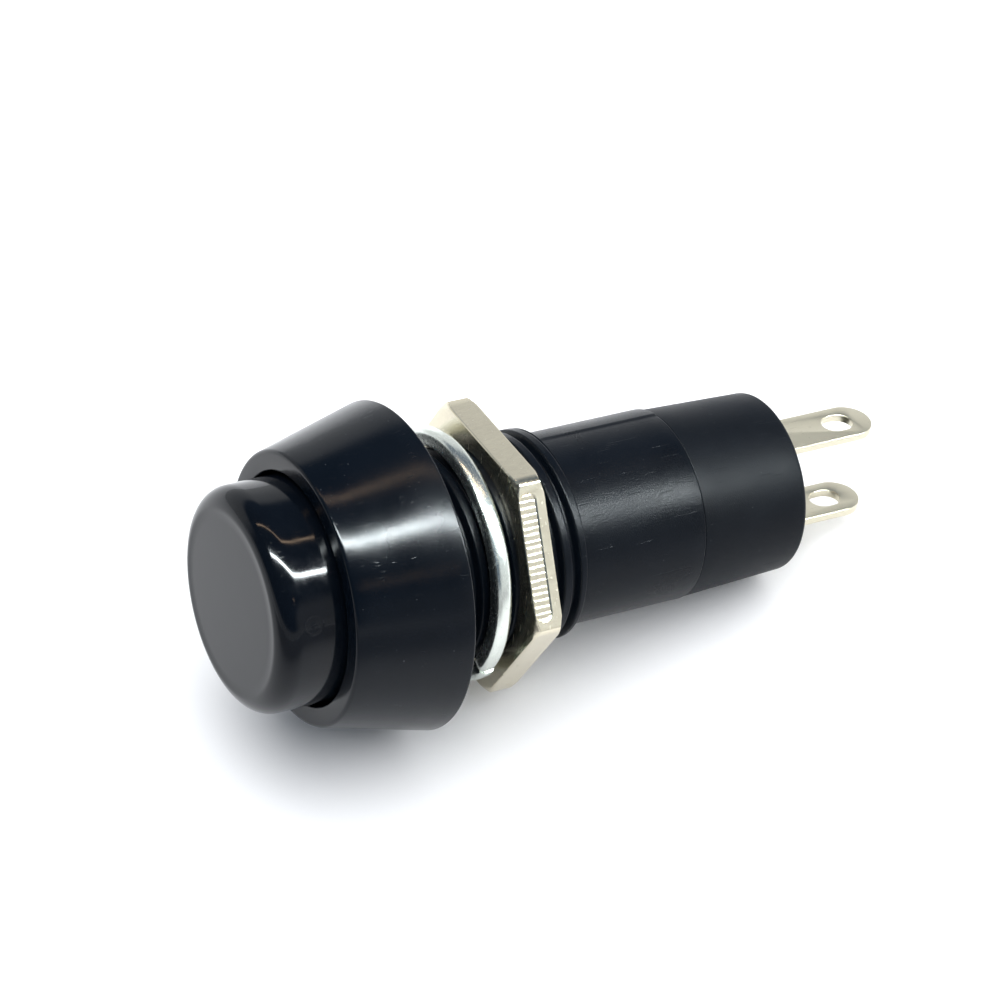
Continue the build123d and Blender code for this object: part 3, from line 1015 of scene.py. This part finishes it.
class MakeLockWasher(bpy.types.Operator):
    """The split spring washer, one turn of rounded bar"""

    bl_idname = "push_button.lock_washer"
    bl_label = "Lock Washer"

    def execute(self, context):
        s = context.scene.button_washer
        outer = WASHER_HIGH.x
        middle = (outer + s.inner_radius) / 2
        half_w = (outer - s.inner_radius) / 2
        half_t = s.thickness / 2
        corners = [
            (-half_w, -half_t, s.edge_radius),
            (half_w, -half_t, s.edge_radius),
            (half_w, half_t, s.edge_radius),
            (-half_w, half_t, s.edge_radius),
        ]
        section = rounded(corners, 6)
        gap = s.split / middle
        steps = 280
        bm = bmesh.new()
        rings = []
        for k in range(steps + 1):
            along = k / steps
            a = s.split_angle + gap / 2 + (TURN - gap) * along
            y0 = WASHER_LOW.y + half_t + s.rise * (1 - along)
            # the sheared ends are pinched a little
            end = min(along, 1 - along) * steps
            pinch = 1 - 0.1 * max(0, 1 - end / 2)
            ring = []
            for w, h in section:
                r = middle + w * pinch
                ring.append(bm.verts.new((r * math.sin(a), y0 + h * pinch, r * math.cos(a))))
            rings.append(ring)
        count = len(section)
        for low, high in zip(rings, rings[1:]):
            for k in range(count):
                m = (k + 1) % count
                bm.faces.new((low[k], low[m], high[m], high[k]))
        bm.faces.new(rings[0])
        bm.faces.new(list(reversed(rings[-1])))
        piece = finished_mesh("lock_washer_bar", bm, 60)
        finish = {"roughness": 0.22, "lines": (0.5, 2.4, 0.5), "line_strength": 0.2, "pitted": 0.5}
        coat(piece, material_called("zinc_plate", plated_metal, tuple(s.metal), **finish))
        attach(piece, "washer")
        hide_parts("lock_washer")
        return {"FINISHED"}


class MakeRearCap(bpy.types.Operator):
    """The cap that closes the barrel, with a slot for each lug"""

    bl_idname = "push_button.rear_cap"
    bl_label = "Rear Cap"

    def execute(self, context):
        s = context.scene.button_rear
        g = context.scene.button_lugs
        seam = HOUSING_HIGH.y
        end = REAR_HIGH.y
        radius = REAR_HIGH.x
        bore = s.spigot_radius - s.spigot_wall
        corners = [
            (0, end - s.wall, 0),
            (bore, end - s.wall, 0.2 * MM),
            (bore, REAR_LOW.y, 0),
            (s.spigot_radius, REAR_LOW.y, 0.1 * MM),
            (s.spigot_radius, seam, 0),
            (radius, seam, 0.07 * MM),
            (s.end_radius, end, s.edge_radius),
            (0, end, 0),
        ]
        outline = spaced(rounded(corners, 8), lambda p: 1.0 * MM)
        piece = turned_mesh("rear_cap_moulding", outline, even_angles(256))
        half = g.width / 2 + s.slot_gap
        low_z = LUG_HIGH.z - g.sheet - s.slot_gap
        high_z = LUG_HIGH.z + s.slot_gap
        for low, high in ((low_z, high_z), (-high_z, -low_z)):
            tool = box_mesh("slot_tool", (-half, end - s.wall - MM, low), (half, end + MM, high))
            cut(piece, tool)
        resharpened(piece)
        h = context.scene.button_housing
        finish = {"roughness": 0.42, "polish": 0.0, "grain": 0.8, "sheen": 0.08}
        coat(piece, material_called("rear_cap_plastic", satin_plastic, tuple(h.plastic), **finish))
        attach(piece, "housing")
        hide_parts("rear_cap")
        return {"FINISHED"}


class MakeSolderLugs(bpy.types.Operator):
    """The two flat lugs, with full-round ends, oblong eyelets and bent tabs inside the cap"""

    bl_idname = "push_button.solder_lugs"
    bl_label = "Solder Lugs"

    def execute(self, context):
        s = context.scene.button_lugs
        r = context.scene.button_rear
        metal = material_called("tin_plate", plated_metal, tuple(s.metal), 0.28, lines=(2.0, 0.1, 1.0), pitted=0.3)
        for name, side in (("upper", 1), ("lower", -1)):
            piece = self.lug(f"solder_lug_{name}", s, r)
            if side < 0:
                self.mirrored(piece)
            coat(piece, metal)
            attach(piece, "housing")
            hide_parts(f"terminal_lug_{name}")
        return {"FINISHED"}

    def lug(self, name, s, r):
        """One lug above the axis."""
        front, tip = LUG_LOW.y, LUG_HIGH.y
        outer = LUG_HIGH.z
        inner = outer - s.sheet
        side_view = [
            (front, s.tab_gap / 2, 0),
            (front, outer, s.bend + s.sheet),
            (tip, outer, 0),
            (tip, inner, 0),
            (front + s.sheet, inner, s.bend),
            (front + s.sheet, s.tab_gap / 2, 0),
        ]
        wide = LUG_HIGH.x
        piece = outline_prism(name, [tuple(p) for p in rounded(side_view, 5)], "X", -wide - MM, wide + MM)
        half = s.width / 2
        shoulder = REAR_HIGH.y - r.wall - r.slot_gap
        sweep = [TURN / 2 * k / 40 for k in range(41)]
        arc = [(half * math.cos(a), tip - half + half * math.sin(a)) for a in sweep]
        plan = [(-wide, front - MM), (wide, front - MM), (wide, shoulder), (half, shoulder)]
        plan += arc + [(-half, shoulder), (-wide, shoulder)]
        cut(piece, outline_prism("plan_tool", plan, "Z", 0, outer + MM), "INTERSECT")
        reach = (s.eyelet_length - s.eyelet_width) / 2
        radius = s.eyelet_width / 2
        middle = tip - s.eyelet_to_tip
        hole = []
        for end, start_angle in ((reach, 0), (-reach, TURN / 2)):
            for k in range(25):
                a = start_angle + TURN / 2 * k / 24
                hole.append((radius * math.cos(a), middle + end + radius * math.sin(a)))
        cut(piece, outline_prism("eyelet_tool", hole, "Z", 0, outer + MM))
        pin_outline = [(0, front - MM), (s.shank, front - MM), (s.shank, front + MM), (0, front + MM)]
        pin = turned_mesh("pin_tool", pin_outline, even_angles(32))
        pin.data.transform(Matrix.Translation((0, 0, s.contact_place)))
        cut(piece, pin)
        return bevelled(piece, 0.045 * MM)

    def mirrored(self, piece):
        """Mirrors a piece in the XY plane and turns its faces outwards again."""
        bm = bmesh.new()
        bm.from_mesh(piece.data)
        for v in bm.verts:
            v.co.z = -v.co.z
        bmesh.ops.reverse_faces(bm, faces=bm.faces)
        bm.to_mesh(piece.data)
        bm.free()


class MakeSprings(bpy.types.Operator):
    """The return spring under the cap and the contact spring on the stem's pin"""

    bl_idname = "push_button.springs"
    bl_label = "Springs"

    def execute(self, context):
        s = context.scene.button_springs
        steel = material_called("spring_steel", plated_metal, tuple(s.steel), 0.3)
        tree = spring_tree()
        travel = next(j for j in frame["joints"] if j["name"] == "button_press")["range_m"][1]
        ratio = next(c for c in frame["record"]["behaviour"]["couplings"] if c["joint"] == "bridge_slide")["ratio"]
        press = travel * (1 - ratio)
        plans = (
            ("return_spring", RETURN_LOW, RETURN_HIGH, s.return_wire, s.return_turns, "housing", travel),
            ("contact_spring", PRESS_LOW, PRESS_HIGH, s.contact_wire, s.contact_turns, "bridge", press),
        )
        for node, low, high, wire, turns, body, squeeze in plans:
            piece = linked(node + "_wire", bpy.data.meshes.new(node + "_wire"))
            values = {
                "Mean Radius": high.x - wire / 2,
                "Wire": wire,
                "Low": low.y,
                "High": high.y,
                "Turns": turns,
                "Closed Turns": s.closed_turns,
                "Material": steel,
            }
            run_tree(piece, tree, values)
            resharpened(piece, 60)
            coat(piece, steel)
            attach(piece, body)
            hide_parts(node)
            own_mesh(piece)
        return {"FINISHED"}


class FinishInnerParts(bpy.types.Operator):
    """Materials for the stem, the clips, the bridge and the contact rivets, which keep their own shapes"""

    bl_idname = "push_button.inner_parts"
    bl_label = "Inner Parts"

    def execute(self, context):
        steel = context.scene.button_springs.steel
        spring = material_called("spring_steel", plated_metal, tuple(steel), 0.3)
        brass = material_called("stamped_brass", plated_metal, (0.72, 0.53, 0.27), 0.28, lines=(1.0, 1.0, 0.1))
        silver = material_called("headed_silver", plated_metal, (0.86, 0.85, 0.82), 0.22)
        natural = material_called("natural_nylon", nylon, (0.62, 0.6, 0.54))
        finishes = {
            "plunger_stem": natural,
            "stop_clip": spring,
            "bridge_keeper": spring,
            "contact_bridge": brass,
            "moving_contact_upper": silver,
            "moving_contact_lower": silver,
            "fixed_contact_upper": silver,
            "fixed_contact_lower": silver,
        }
        for node, material in finishes.items():
            coat(frame["nodes"][node], material)
        return {"FINISHED"}


class MakeStage(bpy.types.Operator):
    """A white floor that the button lies on, soft lights and the camera"""

    bl_idname = "push_button.stage"
    bl_label = "Stage"

    def execute(self, context):
        s = context.scene.button_stage
        up, right, away = self.floor_axes(context, s)
        rest = -up * HOUSING_HIGH.x * up.dot(floor_across(s))
        self.floor(s, rest, up, right, away)
        self.card(s, rest, up, right, away)
        self.lights(up, right, away)
        self.camera(context, s)
        self.surround(context, up, right, away)
        context.scene.view_settings.view_transform = "Standard"
        context.scene.view_settings.look = "None"
        return {"FINISHED"}

    def floor_axes(self, context, s):
        """Up, right and away on the floor. The bezel's rim and the rear cap's edge both rest on it."""
        rear = context.scene.button_rear.end_radius
        tilt = math.atan2(HOUSING_HIGH.x - rear, REAR_HIGH.y)
        up = floor_across(s) * math.cos(tilt) - Vector((0, math.sin(tilt), 0))
        back = camera_back(s)
        right = up.cross(back).normalized()
        away = up.cross(right).normalized()
        return up, right, away

    def floor(self, s, rest, up, right, away):
        """The floor plane."""
        half = s.floor_size / 2
        bm = bmesh.new()
        corners = [rest + right * i * half + away * j * half for i, j in ((-1, -1), (1, -1), (1, 1), (-1, 1))]
        bm.faces.new([bm.verts.new(c) for c in corners])
        bm.normal_update()
        if bm.faces[:][0].normal.dot(up) < 0:
            bmesh.ops.reverse_faces(bm, faces=bm.faces[:])
        plane = linked_mesh("floor", bm)
        coat(plane, material_called("white_floor", white_floor, tuple(s.floor)))

    def card(self, s, rest, up, right, away):
        """A card of painted shade just over the floor on the camera's side, seen in reflections alone."""
        start = rest + up * CARD_GAP - away * CARD_START
        bm = bmesh.new()
        bm.faces.new([bm.verts.new(start + right * i - away * j) for i, j in CARD_CORNERS])
        card = linked_mesh("grey_card", bm)
        card.visible_camera = False
        card.visible_diffuse = False
        card.visible_shadow = False
        coat(card, material_called("grey_card", grey_card, tuple(s.floor), tuple(away)))

    def lights(self, up, right, away):
        """A long strip overhead to the right, two weak warm strips, and a wide soft sheet above."""
        for name, (high, side, back), (length, width), power, tint, mirrored, lighting in LIGHTS:
            data = bpy.data.lights.new(name, "AREA")
            data.shape = "RECTANGLE"
            data.size = length
            data.size_y = width
            data.energy = power
            data.color = tint
            lamp = linked(name, data)
            lamp.visible_glossy = mirrored
            lamp.visible_diffuse = lighting
            place = LIT_POINT + up * high + right * side + away * back
            facing = (place - LIT_POINT).normalized()
            along = (right - facing * right.dot(facing)).normalized()
            turned = Matrix((along, facing.cross(along), facing)).transposed()
            lamp.matrix_world = Matrix.Translation(place) @ turned.to_4x4()

    def camera(self, context, s):
        """The camera."""
        data = bpy.data.cameras.new("camera")
        data.lens = s.lens
        data.sensor_width = 36
        data.clip_start = 0.01
        data.clip_end = 20
        data.dof.use_dof = False
        camera = linked("camera", data)
        back = camera_back(s)
        look = (-back).to_track_quat("-Z", "Y").to_matrix().to_4x4()
        place = Vector(s.aim) + back * s.distance
        camera.matrix_world = Matrix.Translation(place) @ look @ Matrix.Rotation(s.roll, 4, "Z")
        context.scene.camera = camera

    def surround(self, context, up, right, away):
        """A room for the reflections: bright behind, low on the right and along the horizon, dim elsewhere."""
        world = bpy.data.worlds.new("surround")
        world.use_nodes = True
        t = Tree(world.node_tree)
        room = next(n for n in world.node_tree.nodes if n.type == "BACKGROUND")
        ray = t.add("ShaderNodeTexCoord").outputs["Generated"]

        def along(direction):
            dot = t.add("ShaderNodeVectorMath", {0: ray, 1: tuple(direction)}, operation="DOT_PRODUCT")
            return dot.outputs["Value"]

        high, side, back = along(up), along(right), along(away)
        below = t.minus(1.0, smooth_step(t, high, 0.4, 0.54))
        wall = t.times(smooth_step(t, back, -0.05, 0.35), below)
        flank = t.times(smooth_step(t, side, 0.2, 0.7), t.minus(1.0, smooth_step(t, high, 0.3, 0.5)))
        horizon = t.minus(1.0, smooth_step(t, high, 0.08, 0.14))
        bright = t.math("MAXIMUM", t.math("MAXIMUM", wall, t.times(flank, 0.8)), horizon)
        t.feed(room.inputs["Color"], blend_colours(t, bright, ROOM_DIM, ROOM_BRIGHT))
        room.inputs["Strength"].default_value = 1.0
        context.scene.world = world


def floor_across(s):
    """Direction across the axis that points away from the floor."""
    return Vector((math.sin(s.floor_turn), 0, math.cos(s.floor_turn)))


def camera_back(s):
    """Direction from the object to the camera."""
    return Vector(
        (
            math.sin(s.azimuth) * math.cos(s.elevation),
            -math.cos(s.azimuth) * math.cos(s.elevation),
            math.sin(s.elevation),
        )
    )


STEPS = (
    MakeHousing,
    MakeButtonCap,
    MakeHexNut,
    MakeLockWasher,
    MakeRearCap,
    MakeSolderLugs,
    MakeSprings,
    FinishInnerParts,
    MakeStage,
)


class PushButtonPanel(bpy.types.Panel):
    """Buttons for each piece"""

    bl_idname = "VIEW3D_PT_push_button"
    bl_label = "Push Button"
    bl_space_type = "VIEW_3D"
    bl_region_type = "UI"
    bl_category = "Push Button"

    def draw(self, context):
        for step in STEPS:
            self.layout.operator(step.bl_idname)


def register():
    for group in GROUPS.values():
        bpy.utils.register_class(group)
    for name, group in GROUPS.items():
        setattr(bpy.types.Scene, name, bpy.props.PointerProperty(type=group))
    for step in STEPS:
        bpy.utils.register_class(step)
    bpy.utils.register_class(PushButtonPanel)


def unregister():
    bpy.utils.unregister_class(PushButtonPanel)
    for step in reversed(STEPS):
        bpy.utils.unregister_class(step)
    for name in GROUPS:
        delattr(bpy.types.Scene, name)
    for group in reversed(list(GROUPS.values())):
        bpy.utils.unregister_class(group)


def main():
    """Registers the add-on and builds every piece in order."""
    register()
    for step in STEPS:
        area, name = step.bl_idname.split(".")
        getattr(getattr(bpy.ops, area), name)()


if __name__ == "__main__":
    main()
